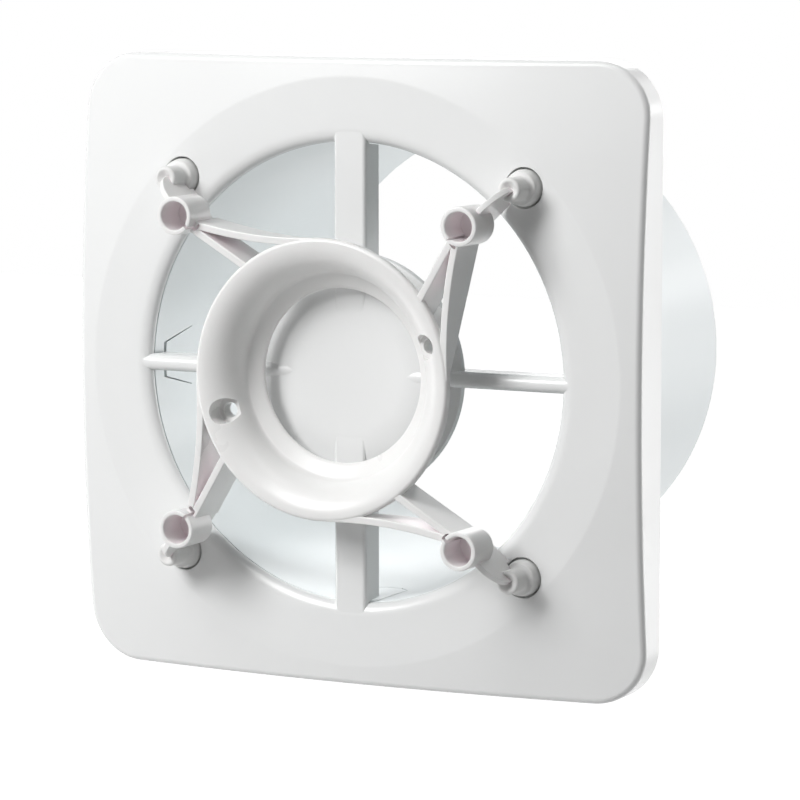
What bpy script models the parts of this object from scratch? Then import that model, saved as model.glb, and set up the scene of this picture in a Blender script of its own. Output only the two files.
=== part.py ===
"""Body of a bathroom extractor fan: a domed wall plate, a duct tube, and a panel carrier on four soft bushes.

Metres, +Z up. The plate faces -Y and the duct runs back along +Y. The origin lies on the duct's axis, in the
plane of the wall. Depths are counted forwards from the wall, so a depth d lies at y = -d.
"""

import math

import bmesh
import bpy
from mathutils import Matrix, Vector

# Clearance between pieces that seat on each other
FIT = 0.0003
# How far a piece runs into the body that it joins, and a cutter past the face that it cuts
SINK = 0.0004

# Duct tube
TUBE_RADIUS = 0.0493
TUBE_TAPER = 0.0006
TUBE_WALL = 0.0023
TUBE_REACH = 0.0655
TUBE_CHAMFER = 0.0008
SLIT = 0.0006
SIDE_TONGUE_SETBACK = 0.0036
SIDE_TONGUE_GAP = 0.0011
SIDE_TONGUE_TIP = 0.0074
SIDE_TONGUE_ROOT = 0.0124
SIDE_TONGUE_LENGTH = 0.0098
END_TONGUE_SETBACK = 0.0012
END_TONGUE_WIDTH = 0.0088
END_TONGUE_LENGTH = 0.0166
END_TONGUE_CHAMFER = 0.0026

# Wall plate
PLATE_DEPTH = 0.0112
PLATE_WALL = 0.0021
PLATE_BORDER = 0.0040
PLATE_CORNER = 0.0115
EDGE_ROUND = 0.0014
DOME_RADIUS = 0.430
LIP_WIDTH = 0.0027
LIP_DROP = 0.0011
CREASE_ROUND = 0.0006
HOLE_MARGIN = 0.00105

# Bar, spokes and hub inside the throat
FLUSH = 0.0001
BAR_WIDTH = 0.0072
BAR_DEPTH = 0.0061
SPOKE_WIDTH = 0.0032
SPOKE_DEPTH = 0.0060
HUB_RADIUS = 0.0246
HUB_FACE_RADIUS = 0.0140
HUB_SOFTENING = 0.0015
HUB_SOFTENING_DROP = 0.00016
HUB_BEVEL = 0.0018
HUB_RIM = 0.0014
HUB_WALL = 0.0016
HOOK_WIDTH = 0.0030
HOOK_THICKNESS = 0.0018
HOOK_NOSE = 0.0022
HOOK_LEAD = 0.0008

# Soft bushes
BUSH_COLLAR_RADIUS = 0.0037
BUSH_COLLAR_TAPER = 0.0003
BUSH_COLLAR_STANDOUT = 0.0019
BUSH_FLANGE = 0.0012
BUSH_FLANGE_THICKNESS = 0.0013
BUSH_NECK_RADIUS = 0.0024
BUSH_BORE_RADIUS = 0.0016
BUSH_STANDOUT = 0.0069
BUSH_ROUND = 0.0004
BUSH_TO_TUBE = 0.0008
HOLE_CLEARANCE = 0.00025

# Panel carrier
RIB_STANDOFF = 0.0128
RIB_DEPTH = 0.0095
RIB_WIDTH = 0.0015
RIB_RISE = 0.0088
RIB_JOIN = 0.0010
RIB_SPREAD = math.radians(42.0)
RIB_LEAN = math.radians(15.0)
FUNNEL_RADIUS = 0.0285
FUNNEL_PROUD = 0.0002
FUNNEL_ROUND = 0.0008
FUNNEL_WALL = 0.0016
FUNNEL_DEPTH = 0.0106
FUNNEL_CONE_DEPTH = 0.0076
FUNNEL_WAIST_RADIUS = 0.0212
FUNNEL_HOLE_RADIUS = 0.0178
FUNNEL_HOLE_EDGE = 0.0010
SCREW_CIRCLE = 0.0244
SCREW_ANGLE = math.radians(18.5)
SCREW_HEAD_RADIUS = 0.0026
SCREW_HOLE_RADIUS = 0.0012
SCREW_SEAT = 0.0062
SCREW_FLOOR = 0.0026
SCREW_BOSS_WALL = 0.0009
SOCKET_TO_BUSH = 0.00975
SOCKET_PROUD = 0.0024
SOCKET_RADIUS = 0.0039
SOCKET_WALL = 0.00095
SOCKET_LENGTH = 0.0084
SOCKET_FLOOR = 0.0012
SPLIT_WIDTH = 0.0005
SPLIT_OFFSET = 0.0004
SPLIT_REACH = 0.0006
SPLIT_HOOK = 0.0014
BLADE_THICKNESS = 0.0017
BLADE_DROP = 0.0029
BLADE_FOOT = 0.0010

# Facets
ROUND_STEPS = 72
POST_STEPS = 24
SCREW_STEPS = 12
SIDE_STEPS = 16
CORNER_STEPS = 8
DOME_STEPS = 3
FILLET_STEPS = 4
RIB_STEPS = 8

RIGHT_ANGLE = math.radians(90.0)
SIDES = [0.0, 2.0 * RIGHT_ANGLE]
ENDS = [RIGHT_ANGLE, 3.0 * RIGHT_ANGLE]
CORNERS = {
    "upper_right": 0.5 * RIGHT_ANGLE,
    "upper_left": 1.5 * RIGHT_ANGLE,
    "lower_left": 2.5 * RIGHT_ANGLE,
    "lower_right": 3.5 * RIGHT_ANGLE,
}
DIAGONALS = list(CORNERS.values())
SCREWS = [SCREW_ANGLE, SCREW_ANGLE + 2.0 * RIGHT_ANGLE]

# Places that follow from the sizes above
THROAT_RADIUS = TUBE_RADIUS - TUBE_WALL
HOLE_RADIUS = BUSH_COLLAR_RADIUS + HOLE_CLEARANCE
FLANGE_RADIUS = BUSH_COLLAR_RADIUS + BUSH_FLANGE
BUSH_CIRCLE = TUBE_RADIUS + BUSH_TO_TUBE + FLANGE_RADIUS
RING_RADIUS = BUSH_CIRCLE + HOLE_RADIUS + HOLE_MARGIN
PLATE_HALF = RING_RADIUS + PLATE_BORDER
PLATE_BACK = PLATE_DEPTH - PLATE_WALL
TUBE_FRONT = PLATE_BACK - FIT
SOCKET_CIRCLE = BUSH_CIRCLE - SOCKET_TO_BUSH
SOCKET_BORE = SOCKET_RADIUS - SOCKET_WALL
RIB_FRONT = PLATE_DEPTH + RIB_STANDOFF
RIB_REAR = RIB_FRONT - RIB_DEPTH
SOCKET_FRONT = RIB_FRONT + SOCKET_PROUD
SOCKET_REAR = SOCKET_FRONT - SOCKET_LENGTH
SOCKET_END = SOCKET_REAR + SOCKET_FLOOR
FUNNEL_FRONT = RIB_FRONT + FUNNEL_PROUD
FUNNEL_REAR = FUNNEL_FRONT - FUNNEL_DEPTH
FUNNEL_WAIST = FUNNEL_FRONT - FUNNEL_CONE_DEPTH
SCREW_SEAT_DEPTH = FUNNEL_FRONT - SCREW_SEAT
COLLAR_FRONT = PLATE_DEPTH + BUSH_COLLAR_STANDOUT
BUSH_FRONT = PLATE_DEPTH + BUSH_STANDOUT
BLADE_REAR = COLLAR_FRONT + BLADE_FOOT
BLADE_TIP = BUSH_CIRCLE + math.sqrt((BUSH_BORE_RADIUS - FIT) ** 2 - (BLADE_THICKNESS / 2) ** 2)


def turn(angle):
    """Turn about the duct's axis that takes +X towards +Z."""
    return Matrix.Rotation(-angle, 4, "Y")


def polar(radius, angle, depth):
    return Vector((radius * math.cos(angle), -depth, radius * math.sin(angle)))


def plastic(name, colour, roughness):
    material = bpy.data.materials.new(name)
    material.use_nodes = True
    shader = material.node_tree.nodes["Principled BSDF"]
    shader.inputs["Base Color"].default_value = (*colour, 1.0)
    shader.inputs["Roughness"].default_value = roughness
    return material


def make_object(name, bm, material=None):
    bmesh.ops.recalc_face_normals(bm, faces=bm.faces)
    mesh = bpy.data.meshes.new(name)
    bm.to_mesh(mesh)
    bm.free()
    mesh.shade_smooth()
    mesh.set_sharp_from_angle(angle=math.radians(35.0))
    if material:
        mesh.materials.append(material)
    return place_mesh(name, mesh)


def place_mesh(name, mesh):
    item = bpy.data.objects.new(name, mesh)
    bpy.context.collection.objects.link(item)
    return item


def combine(target, tool, operation):
    """Join a tool to the target, or cut it out, by a Boolean."""
    tool.hide_render = True
    tool.display_type = "WIRE"
    modifier = target.modifiers.new(tool.name, "BOOLEAN")
    modifier.operation = operation
    modifier.object = tool


def add_loft(bm, loops, closed):
    """Bridge loops of equally many points. An open loft is capped, a closed one returns to its first loop."""
    rings = [[bm.verts.new(point) for point in loop] for loop in loops]
    pairs = list(zip(rings, rings[1:]))
    if closed:
        pairs.append((rings[-1], rings[0]))
    else:
        bm.faces.new(rings[0])
        bm.faces.new(rings[-1])
    for near, far in pairs:
        for k in range(len(near)):
            n = (k + 1) % len(near)
            bm.faces.new((near[k], near[n], far[n], far[k]))


def steps_round(count):
    return [4.0 * RIGHT_ANGLE * k / count for k in range(count)]


def circle(radius, depth, angles):
    return [polar(radius, angle, depth) for angle in angles]


def add_lathe(bm, profile, count, closed=False):
    """Turn (radius, depth) points about the duct's axis."""
    add_loft(bm, [circle(radius, depth, steps_round(count)) for radius, depth in profile], closed)


def add_prism(bm, outline, low, high, place):
    """Extrude (u, v) points from low to high, where place(u, v, height) gives a point in space."""
    add_loft(bm, [[place(u, v, height) for u, v in outline] for height in (low, high)], False)


def mirrored(points):
    """A half outline of (u, v) points, closed by its mirror image in u."""
    return points + [(-u, v) for u, v in reversed(points)]


def repeat(bm, angles):
    """Turn what the mesh holds to the first angle, and copies of it to the others."""
    first = bm.verts[:]
    source = first + bm.edges[:] + bm.faces[:]
    for angle in angles[1:]:
        copied = bmesh.ops.duplicate(bm, geom=source)["geom"]
        verts = [item for item in copied if isinstance(item, bmesh.types.BMVert)]
        bmesh.ops.transform(bm, matrix=turn(angle), verts=verts)
    bmesh.ops.transform(bm, matrix=turn(angles[0]), verts=first)


def posts(name, radius, place, rear, front, angles, count):
    """Round posts along the duct's direction: one at (x, z) = place, and its copies at the angles."""
    bm = bmesh.new()
    shift = Vector((place[0], 0.0, place[1]))
    ends = [circle(radius, depth, steps_round(count)) for depth in (rear, front)]
    add_loft(bm, [[point + shift for point in ring] for ring in ends], False)
    repeat(bm, angles)
    return make_object(name, bm)


def arc(centre, radius, start, end, count):
    """Points (u, v) on an arc, both ends included."""
    angles = [start + (end - start) * k / count for k in range(count + 1)]
    return [(centre[0] + radius * math.cos(a), centre[1] + radius * math.sin(a)) for a in angles]


def quarter_turns(count):
    return [RIGHT_ANGLE * k / count for k in range(count + 1)]


def dome_depth(radius):
    """Depth of the plate's domed front at a distance from the axis."""
    return PLATE_DEPTH - (radius ** 2 - RING_RADIUS ** 2) / (2.0 * DOME_RADIUS)


def plate_outline(inset):
    """Rounded square in (x, z), drawn in by inset, with the same count of points for any inset."""
    straight = PLATE_HALF - PLATE_CORNER
    widest = math.atan2(straight, PLATE_HALF)
    side = []
    for k in range(SIDE_STEPS):
        along = PLATE_HALF * math.tan(widest * (2.0 * k / SIDE_STEPS - 1.0))
        side.append((PLATE_HALF - inset, along))
    side += arc((straight, straight), PLATE_CORNER - inset, 0.0, RIGHT_ANGLE, CORNER_STEPS)[:-1]
    points = []
    for k in range(4):
        points += side
        side = [(-z, x) for x, z in side]
    return points


def dome_loop(outline, angles, share, sunk):
    """A loop on the dome, or sunk below it, part of the way from the flat ring to an outline."""
    loop = []
    for (x, z), angle in zip(outline, angles):
        radius = RING_RADIUS + share * (math.hypot(x, z) - RING_RADIUS)
        bearing = angle + share * math.remainder(math.atan2(z, x) - angle, 4.0 * RIGHT_ANGLE)
        loop.append(polar(radius, bearing, dome_depth(radius) - sunk))
    return loop


def lip_loops(angles):
    """The rolled lip, from the throat to the flat ring."""
    loops = []
    for a in quarter_turns(FILLET_STEPS):
        radius = THROAT_RADIUS + LIP_WIDTH * (1.0 - math.cos(a))
        loops.append(circle(radius, PLATE_DEPTH - LIP_DROP * (1.0 - math.sin(a)), angles))
    return loops


def edge_loops():
    """The rounded edge between the dome and the skirt."""
    depths = [dome_depth(math.hypot(x, z)) for x, z in plate_outline(EDGE_ROUND)]
    loops = []
    for a in quarter_turns(FILLET_STEPS):
        drop = EDGE_ROUND * (1.0 - math.cos(a))
        rim = plate_outline(EDGE_ROUND * (1.0 - math.sin(a)))
        loops.append([Vector((x, drop - depth, z)) for (x, z), depth in zip(rim, depths)])
    return loops


def plate_shell():
    outline = plate_outline(0.0)
    inner = plate_outline(PLATE_WALL)
    angles = [math.atan2(z, x) for x, z in outline]
    loops = [circle(THROAT_RADIUS, PLATE_BACK, angles)]
    loops += lip_loops(angles)
    loops.append(circle(RING_RADIUS - CREASE_ROUND, PLATE_DEPTH, angles))
    loops.append(circle(RING_RADIUS + CREASE_ROUND, dome_depth(RING_RADIUS + CREASE_ROUND), angles))
    for k in range(1, DOME_STEPS):
        loops.append(dome_loop(plate_outline(EDGE_ROUND), angles, (k + 1.0) / (DOME_STEPS + 1.0), 0.0))
    loops += edge_loops()
    loops.append([Vector((x, 0.0, z)) for x, z in outline])
    loops.append([Vector((x, 0.0, z)) for x, z in inner])
    for k in range(DOME_STEPS, 0, -1):
        loops.append(dome_loop(inner, angles, k / DOME_STEPS, PLATE_WALL))
    loops.append(circle(RING_RADIUS, PLATE_BACK, angles))
    bm = bmesh.new()
    add_loft(bm, loops, True)
    return bm


def throat_bar():
    """Upright bar. Behind the plate it stays inside the duct tube."""
    half = BAR_WIDTH / 2
    outer = THROAT_RADIUS + LIP_WIDTH - FLUSH
    inner = math.sqrt((THROAT_RADIUS - FIT - TUBE_TAPER) ** 2 - half ** 2)
    front = PLATE_DEPTH - FLUSH
    step = PLATE_BACK + SINK
    rear = PLATE_DEPTH - BAR_DEPTH
    outline = mirrored([(outer, front), (outer, step), (inner, step), (inner, rear)])
    bm = bmesh.new()
    add_prism(bm, outline, -half, half, lambda u, v, height: Vector((height, -v, u)))
    return make_object("throat_bar", bm)


def spoke_section(x, rear):
    """Section of a spoke at x: a half-round front, and flat sides back to a depth."""
    half = SPOKE_WIDTH / 2
    front = arc((0.0, PLATE_DEPTH - FLUSH - half), half, 0.0, 2.0 * RIGHT_ANGLE, 2 * FILLET_STEPS)
    return [Vector((x, -depth, z)) for z, depth in [(half, rear)] + front + [(-half, rear)]]


def throat_spokes():
    outer = THROAT_RADIUS + LIP_WIDTH - FLUSH
    inner = math.sqrt((THROAT_RADIUS - FIT - TUBE_TAPER) ** 2 - (SPOKE_WIDTH / 2) ** 2)
    step = PLATE_BACK + SINK / 2
    rear = PLATE_DEPTH - SPOKE_DEPTH
    stations = [(-outer, step), (-inner, step), (SINK - inner, rear)]
    stations += [(-x, depth) for x, depth in reversed(stations)]
    bm = bmesh.new()
    add_loft(bm, [spoke_section(x, depth) for x, depth in stations], False)
    return make_object("throat_spokes", bm)


def hub_disc():
    """Disc with a sloping border, whose face is level with the flat ring."""
    rim = PLATE_DEPTH - HUB_BEVEL
    rear = rim - HUB_RIM
    profile = [
        (HUB_FACE_RADIUS, PLATE_DEPTH),
        (HUB_FACE_RADIUS + HUB_SOFTENING, PLATE_DEPTH - HUB_SOFTENING_DROP),
        (HUB_RADIUS, rim),
        (HUB_RADIUS, rear),
        (HUB_RADIUS - HUB_WALL, rear),
        (HUB_FACE_RADIUS, PLATE_DEPTH - HUB_WALL),
    ]
    bm = bmesh.new()
    add_lathe(bm, profile, ROUND_STEPS)
    return make_object("hub_disc", bm)


def tube_hooks():
    """Legs behind the spokes' ends, whose noses stand in the gaps ahead of the tube's side tongues."""
    outer = THROAT_RADIUS - 2.0 * FIT - TUBE_TAPER
    inner = outer - HOOK_THICKNESS
    tip = outer + HOOK_NOSE
    root = PLATE_BACK
    nose_front = TUBE_FRONT - SIDE_TONGUE_SETBACK - FIT
    nose_rear = TUBE_FRONT - SIDE_TONGUE_SETBACK - SIDE_TONGUE_GAP + FIT
    end = nose_rear - HOOK_LEAD
    outline = [(inner, root), (outer, root), (outer, nose_front), (tip, nose_front)]
    outline += [(tip, nose_rear), (outer, nose_rear), (outer, end), (inner, end)]
    bm = bmesh.new()
    half = HOOK_WIDTH / 2
    add_prism(bm, outline, -half, half, lambda u, v, height: Vector((u, -v, height)))
    repeat(bm, SIDES)
    return make_object("tube_hooks", bm)


def build_wall_plate(material):
    plate = make_object("wall_plate", plate_shell(), material)
    for tool in (throat_bar(), throat_spokes(), hub_disc(), tube_hooks()):
        combine(plate, tool, "UNION")
    place = (BUSH_CIRCLE, 0.0)
    ends = (PLATE_BACK - SINK, PLATE_DEPTH + SINK)
    holes = posts("bush_holes", HOLE_RADIUS, place, *ends, DIAGONALS, POST_STEPS)
    combine(plate, holes, "DIFFERENCE")


def slot_cutter(name, outline, angles):
    """Cut an outline of (across, depth) points through the tube's wall at each angle."""
    bm = bmesh.new()
    low = THROAT_RADIUS - TUBE_TAPER - TUBE_WALL
    add_prism(bm, outline, low, TUBE_RADIUS + TUBE_WALL, lambda u, v, height: Vector((height, -v, u)))
    repeat(bm, angles)
    return make_object(name, bm)


def side_tongue_slots():
    """Slots round the two side tongues, which widen to the rear and end in a gap at the front."""
    front = TUBE_FRONT - SIDE_TONGUE_SETBACK
    tip = front - SIDE_TONGUE_GAP
    root = tip - SIDE_TONGUE_LENGTH
    outer = [(SIDE_TONGUE_ROOT / 2, root), (SIDE_TONGUE_TIP / 2, front)]
    inner = [(SIDE_TONGUE_ROOT / 2 - SLIT, root), (SIDE_TONGUE_TIP / 2 - SLIT, tip)]
    outline = mirrored(outer) + list(reversed(mirrored(inner)))
    return slot_cutter("side_tongue_slots", outline, SIDES)


def end_tongue_slots():
    """Slots round the upper and lower tongues, whose chamfered tips point to the rear."""
    front = TUBE_FRONT - END_TONGUE_SETBACK
    tip = front - END_TONGUE_LENGTH
    shoulder = tip + END_TONGUE_CHAMFER
    half = END_TONGUE_WIDTH / 2
    corner = half - END_TONGUE_CHAMFER
    outer = [(half, front), (half, shoulder), (corner, tip)]
    inner = [(half - SLIT, front), (half - SLIT, shoulder), (corner - SLIT / 2, tip + SLIT)]
    outline = mirrored(outer) + list(reversed(mirrored(inner)))
    return slot_cutter("end_tongue_slots", outline, ENDS)


def build_duct_tube(material):
    rear = TUBE_RADIUS - TUBE_TAPER
    profile = [
        (THROAT_RADIUS, TUBE_FRONT),
        (TUBE_RADIUS, TUBE_FRONT),
        (TUBE_RADIUS, 0.0),
        (rear, TUBE_CHAMFER - TUBE_REACH),
        (rear - TUBE_CHAMFER, -TUBE_REACH),
        (rear - TUBE_WALL, -TUBE_REACH),
    ]
    bm = bmesh.new()
    add_lathe(bm, profile, ROUND_STEPS, closed=True)
    tube = make_object("duct_tube", bm, material)
    combine(tube, side_tongue_slots(), "DIFFERENCE")
    combine(tube, end_tongue_slots(), "DIFFERENCE")


def funnel_body():
    """The funnel before its inside is cut."""
    centre = (FUNNEL_RADIUS - FUNNEL_ROUND, FUNNEL_FRONT - FUNNEL_ROUND)
    profile = [
        (FUNNEL_HOLE_RADIUS + FUNNEL_WALL, FUNNEL_REAR),
        (FUNNEL_WAIST_RADIUS + FUNNEL_WALL, FUNNEL_WAIST - FUNNEL_HOLE_EDGE),
        (FUNNEL_RADIUS, FUNNEL_FRONT - 2.0 * FUNNEL_ROUND),
    ]
    profile += arc(centre, FUNNEL_ROUND, 0.0, RIGHT_ANGLE, FILLET_STEPS)
    bm = bmesh.new()
    add_lathe(bm, profile, ROUND_STEPS)
    return bm


def funnel_inside():
    """Rolled edge, cone, shallower ring and hole."""
    centre = (FUNNEL_RADIUS - FUNNEL_ROUND, FUNNEL_FRONT - FUNNEL_ROUND)
    profile = [
        (FUNNEL_HOLE_RADIUS, FUNNEL_REAR - SINK),
        (FUNNEL_HOLE_RADIUS, FUNNEL_REAR + FUNNEL_HOLE_EDGE),
        (FUNNEL_WAIST_RADIUS, FUNNEL_WAIST),
    ]
    profile += arc(centre, FUNNEL_ROUND, 2.0 * RIGHT_ANGLE, RIGHT_ANGLE, FILLET_STEPS)[:-1]
    profile += [(FUNNEL_RADIUS - FUNNEL_ROUND, FUNNEL_FRONT + SINK)]
    bm = bmesh.new()
    add_lathe(bm, profile, ROUND_STEPS)
    return make_object("funnel_inside", bm)


def add_rib(bm, path, rise):
    """Sweep an upright rib along (x, z) points. Its rear edge curves forwards by the rise."""
    loops = []
    for k, point in enumerate(path):
        before = Vector(path[max(k - 1, 0)])
        after = Vector(path[min(k + 1, len(path) - 1)])
        side = (after - before).orthogonal().normalized() * RIB_WIDTH / 2
        rear = RIB_REAR + rise * (k / (len(path) - 1)) ** 2
        left = Vector(point) + side
        right = Vector(point) - side
        corners = ((left, RIB_FRONT), (right, RIB_FRONT), (right, rear), (left, rear))
        loops.append([Vector((spot.x, -depth, spot.y)) for spot, depth in corners])
    add_loft(bm, loops, False)


def curved_ribs():
    """From each socket, a rib that bends until it lies along the funnel's rim."""
    start = Vector((SOCKET_CIRCLE - SOCKET_RADIUS + SINK, -RIB_JOIN))
    touch = FUNNEL_RADIUS - RIB_WIDTH / 2
    aim = Vector((math.cos(RIB_SPREAD), -math.sin(RIB_SPREAD)))
    reach = start.dot(aim)
    bend = (touch ** 2 - 2.0 * touch * reach + start.length_squared) / (2.0 * (reach - touch))
    centre = aim * (touch + bend)
    first = math.atan2(start.y - centre.y, start.x - centre.x)
    sweep = math.remainder(math.atan2(-aim.y, -aim.x) - first, 4.0 * RIGHT_ANGLE)
    bm = bmesh.new()
    add_rib(bm, arc(centre, bend, first, first + sweep, RIB_STEPS), RIB_RISE)
    repeat(bm, DIAGONALS)
    return make_object("curved_ribs", bm)


def straight_ribs():
    """From each socket, a straight rib of even depth to the funnel's wall."""
    start = (SOCKET_CIRCLE - SOCKET_RADIUS + SINK, 0.0)
    end = (FUNNEL_WAIST_RADIUS * math.cos(RIB_LEAN), -FUNNEL_WAIST_RADIUS * math.sin(RIB_LEAN))
    bm = bmesh.new()
    add_rib(bm, [start, end], 0.0)
    repeat(bm, DIAGONALS)
    return make_object("straight_ribs", bm)


def bush_blades():
    """Upright blades from the sockets into the bushes' bores, with a bulging front edge."""
    inner = SOCKET_CIRCLE + SOCKET_BORE + SOCKET_WALL / 2
    top = SOCKET_FRONT - BLADE_DROP
    outline = []
    for a in quarter_turns(RIB_STEPS):
        along = inner + (BLADE_TIP - inner) * math.sin(a)
        outline.append((along, top - (top - BUSH_FRONT + FIT) * (1.0 - math.cos(a))))
    outline += [(BLADE_TIP, BLADE_REAR), (BUSH_CIRCLE - BUSH_COLLAR_RADIUS, BLADE_REAR)]
    outline += [(inner, SOCKET_REAR)]
    bm = bmesh.new()
    half = BLADE_THICKNESS / 2
    add_prism(bm, outline, -half, half, lambda u, v, height: Vector((u, -v, height)))
    repeat(bm, DIAGONALS)
    return make_object("bush_blades", bm)


def socket_splits():
    """Slits that open each socket towards the hub and hook round its free end."""
    half = SPLIT_WIDTH / 2
    outer = SOCKET_CIRCLE - SOCKET_BORE / 2
    inner = SOCKET_CIRCLE - SOCKET_RADIUS - SPLIT_REACH
    outline = [(outer, half), (outer, -half), (inner + half, -half), (inner + half, -SPLIT_HOOK)]
    outline += [(inner - half, -SPLIT_HOOK), (inner - half, half)]
    outline = [(along, across - SPLIT_OFFSET) for along, across in outline]
    bm = bmesh.new()
    add_prism(bm, outline, SOCKET_END, SOCKET_FRONT + SINK, lambda u, v, height: Vector((u, -height, v)))
    repeat(bm, DIAGONALS)
    return make_object("socket_splits", bm)


def carrier_additions():
    socket = (SOCKET_CIRCLE, 0.0)
    screw = (SCREW_CIRCLE, 0.0)
    boss = SCREW_HEAD_RADIUS + SCREW_BOSS_WALL
    boss_rear = SCREW_SEAT_DEPTH - SCREW_FLOOR
    return [
        curved_ribs(),
        straight_ribs(),
        posts("sockets", SOCKET_RADIUS, socket, SOCKET_REAR, SOCKET_FRONT, DIAGONALS, POST_STEPS),
        bush_blades(),
        posts("screw_bosses", boss, screw, boss_rear, FUNNEL_FRONT - 2.0 * FUNNEL_ROUND, SCREWS, POST_STEPS),
    ]


def carrier_cuts():
    front = SOCKET_FRONT + SINK
    socket = (SOCKET_CIRCLE, 0.0)
    screw = (SCREW_CIRCLE, 0.0)
    through = SCREW_SEAT_DEPTH - 2.0 * SCREW_FLOOR
    return [
        funnel_inside(),
        posts("socket_bores", SOCKET_BORE, socket, SOCKET_END, front, DIAGONALS, POST_STEPS),
        socket_splits(),
        posts("screw_heads", SCREW_HEAD_RADIUS, screw, SCREW_SEAT_DEPTH, front, SCREWS, POST_STEPS),
        posts("screw_holes", SCREW_HOLE_RADIUS, screw, through, front, SCREWS, SCREW_STEPS),
    ]


def build_panel_carrier(material):
    carrier = make_object("panel_carrier", funnel_body(), material)
    for tool in carrier_additions():
        combine(carrier, tool, "UNION")
    for tool in carrier_cuts():
        combine(carrier, tool, "DIFFERENCE")


def bush_profile():
    """Flange behind the plate, tapered collar in its hole, a flare and a neck with a rounded end."""
    flange_front = PLATE_BACK - FIT
    collar = BUSH_COLLAR_RADIUS - BUSH_COLLAR_TAPER
    flare = (collar - BUSH_ROUND + BUSH_NECK_RADIUS) / 2
    return [
        (FLANGE_RADIUS, flange_front - BUSH_FLANGE_THICKNESS),
        (FLANGE_RADIUS, flange_front),
        (BUSH_COLLAR_RADIUS, flange_front),
        (BUSH_COLLAR_RADIUS, PLATE_DEPTH),
        (collar, COLLAR_FRONT - BUSH_ROUND),
        (collar - BUSH_ROUND, COLLAR_FRONT),
        (flare, COLLAR_FRONT + BUSH_ROUND),
        (BUSH_NECK_RADIUS, COLLAR_FRONT + 4.0 * BUSH_ROUND),
        (BUSH_NECK_RADIUS, BUSH_FRONT - BUSH_ROUND),
        (BUSH_NECK_RADIUS - BUSH_ROUND / 2, BUSH_FRONT),
    ]


def bush_slot():
    """Space for the carrier's blade, open to the front and towards the hub."""
    rear = BLADE_REAR - FIT
    front = BUSH_FRONT + SINK
    outline = [(0.0, rear), (BUSH_COLLAR_RADIUS, rear), (BUSH_COLLAR_RADIUS, front), (0.0, front)]
    bm = bmesh.new()
    half = BLADE_THICKNESS / 2 + FIT
    add_prism(bm, outline, -half, half, lambda u, v, height: Vector((-u, -v, height)))
    return make_object("bush_slot", bm)


def build_bushes(material):
    """Four bushes that share a mesh."""
    bm = bmesh.new()
    add_lathe(bm, bush_profile(), POST_STEPS)
    blank = make_object("bush_blank", bm, material)
    ends = (BLADE_REAR - FIT, BUSH_FRONT + SINK)
    bore = posts("bush_bore", BUSH_BORE_RADIUS, (0.0, 0.0), *ends, [0.0], POST_STEPS)
    combine(blank, bore, "DIFFERENCE")
    combine(blank, bush_slot(), "DIFFERENCE")
    mesh = bpy.data.meshes.new_from_object(blank.evaluated_get(bpy.context.evaluated_depsgraph_get()))
    bpy.data.objects.remove(blank)
    for corner, angle in CORNERS.items():
        bush = place_mesh("bush_" + corner, mesh)
        bush.location = polar(BUSH_CIRCLE, angle, 0.0)
        bush.rotation_euler = (0.0, -angle, 0.0)


def main():
    for item in list(bpy.data.objects):
        bpy.data.objects.remove(item)
    build_wall_plate(plastic("plate_white", (0.86, 0.86, 0.85), 0.22))
    build_duct_tube(plastic("tube_white", (0.78, 0.81, 0.82), 0.30))
    build_panel_carrier(plastic("carrier_white", (0.86, 0.84, 0.82), 0.28))
    build_bushes(plastic("bush_grey", (0.80, 0.80, 0.79), 0.55))


main()
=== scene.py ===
"""Looks of a bathroom extractor fan body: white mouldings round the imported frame, soft bushes and a studio.

Metres, in the frame's own axes. Depths are counted forwards from the wall, so a depth d lies at y = -d.
"""

import math

import bmesh
import bpy
from mathutils import Matrix, Vector


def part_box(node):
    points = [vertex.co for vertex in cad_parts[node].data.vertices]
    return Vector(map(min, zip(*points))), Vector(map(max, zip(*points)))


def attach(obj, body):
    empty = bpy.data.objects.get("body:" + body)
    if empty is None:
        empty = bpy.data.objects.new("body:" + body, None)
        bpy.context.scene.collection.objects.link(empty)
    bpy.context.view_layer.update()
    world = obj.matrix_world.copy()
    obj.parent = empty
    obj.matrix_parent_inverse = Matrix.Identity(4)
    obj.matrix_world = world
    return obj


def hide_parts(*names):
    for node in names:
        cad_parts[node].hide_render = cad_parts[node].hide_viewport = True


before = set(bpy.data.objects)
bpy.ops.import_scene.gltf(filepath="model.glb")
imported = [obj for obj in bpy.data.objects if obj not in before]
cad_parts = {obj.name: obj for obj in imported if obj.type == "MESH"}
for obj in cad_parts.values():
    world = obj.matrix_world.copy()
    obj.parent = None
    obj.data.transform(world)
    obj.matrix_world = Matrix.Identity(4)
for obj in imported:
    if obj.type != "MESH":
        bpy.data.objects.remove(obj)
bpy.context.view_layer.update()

RIGHT_ANGLE = math.radians(90.0)
SIDES = [0.0, 2.0 * RIGHT_ANGLE]
ENDS = [RIGHT_ANGLE, 3.0 * RIGHT_ANGLE]
CORNERS = {
    "upper_right": 0.5 * RIGHT_ANGLE,
    "upper_left": 1.5 * RIGHT_ANGLE,
    "lower_left": 2.5 * RIGHT_ANGLE,
    "lower_right": 3.5 * RIGHT_ANGLE,
}
DIAGONALS = list(CORNERS.values())

# How far a cutter or a joined piece runs past the face that it meets
SINK = 0.0004

# Edges shorter than this, left where cuts meet, are taken out
SLIVER = 0.000002

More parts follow.
